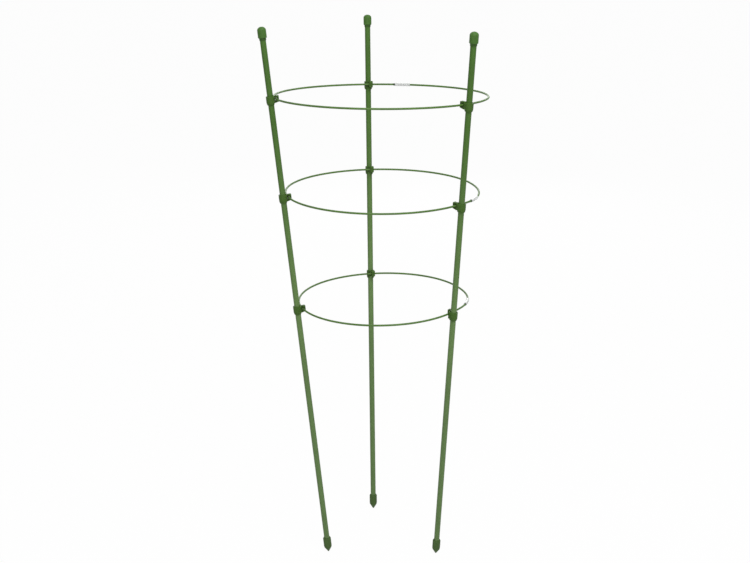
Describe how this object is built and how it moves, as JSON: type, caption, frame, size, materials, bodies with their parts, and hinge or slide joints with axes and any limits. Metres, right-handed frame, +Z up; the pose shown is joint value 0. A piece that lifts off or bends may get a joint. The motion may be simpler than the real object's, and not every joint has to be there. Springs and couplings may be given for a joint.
{
  "type": "ring plant support",
  "caption": "Free-standing garden plant support: slender capped stakes that lean outwards, clipped to level wire rings that a climbing plant grows up through.",
  "frame": {"origin": "middle of the bounding box's base, on the plane that the tips of the stakes stand on", "axes": "+Z up the support, +X to its right seen from the front, +Y to its rear, where the rear stake stands"},
  "size_m": [0.3076, 0.3108, 0.7722],
  "materials": {
    "coated_green": "smooth green plastic coating with a soft sheen",
    "moulded_green": "satin moulded green plastic",
    "tip_green": "satin moulded dark green plastic",
    "wire_green": "smooth green plastic coating on wire",
    "steel": "bare drawn steel",
    "clear_sleeve": "cloudy clear plastic"
  },
  "bodies": {
    "clips": {"top_ring_left_clip": "moulded_green", "top_ring_right_clip": "moulded_green", "top_ring_rear_clip": "moulded_green", "middle_ring_left_clip": "moulded_green", "middle_ring_right_clip": "moulded_green", "middle_ring_rear_clip": "moulded_green", "bottom_ring_left_clip": "moulded_green", "bottom_ring_right_clip": "moulded_green", "bottom_ring_rear_clip": "moulded_green"},
    "left_stake": {"left_stake_tube": "steel", "left_stake_coating": "coated_green", "left_stake_cap": "moulded_green", "left_stake_tip": "tip_green"},
    "right_stake": {"right_stake_tube": "steel", "right_stake_coating": "coated_green", "right_stake_cap": "moulded_green", "right_stake_tip": "tip_green"},
    "rear_stake": {"rear_stake_tube": "steel", "rear_stake_coating": "coated_green", "rear_stake_cap": "moulded_green", "rear_stake_tip": "tip_green"},
    "top_ring": {"top_ring_core": "steel", "top_ring_coating": "wire_green", "top_ring_sleeve": "clear_sleeve"},
    "middle_ring": {"middle_ring_core": "steel", "middle_ring_coating": "wire_green", "middle_ring_sleeve": "clear_sleeve"},
    "bottom_ring": {"bottom_ring_core": "steel", "bottom_ring_coating": "wire_green", "bottom_ring_sleeve": "clear_sleeve"}
  },
  "joints": [
    {"name": "left_stake_slide", "type": "slide", "parent": "clips", "child": "left_stake", "axis": [-0.1019, -0.0018, 0.9948], "range_m": [-0.0715, 0.3545]},
    {"name": "right_stake_slide", "type": "slide", "parent": "clips", "child": "right_stake", "axis": [0.0408, -0.0879, 0.9953], "range_m": [-0.07, 0.359]},
    {"name": "rear_stake_slide", "type": "slide", "parent": "clips", "child": "rear_stake", "axis": [-0.0131, 0.0853, 0.9963], "range_m": [-0.0775, 0.3565]},
    {"name": "top_ring_turn", "type": "hinge", "parent": "clips", "child": "top_ring", "pos_m": [0.00741, -0.00905, 0.67664], "axis": [-0.0001, 0.0277, 0.9996], "range_deg": [-113, 12]},
    {"name": "middle_ring_turn", "type": "hinge", "parent": "clips", "child": "middle_ring", "pos_m": [0.00831, -0.00791, 0.54566], "axis": [-0.0044, -0.0102, 0.9999], "range_deg": [-0.7, 85]},
    {"name": "bottom_ring_turn", "type": "hinge", "parent": "clips", "child": "bottom_ring", "pos_m": [0.00953, -0.00732, 0.38774], "axis": [-0.0231, -0.0006, 0.9997], "range_deg": [-1.4, 73.5]}
  ]
}
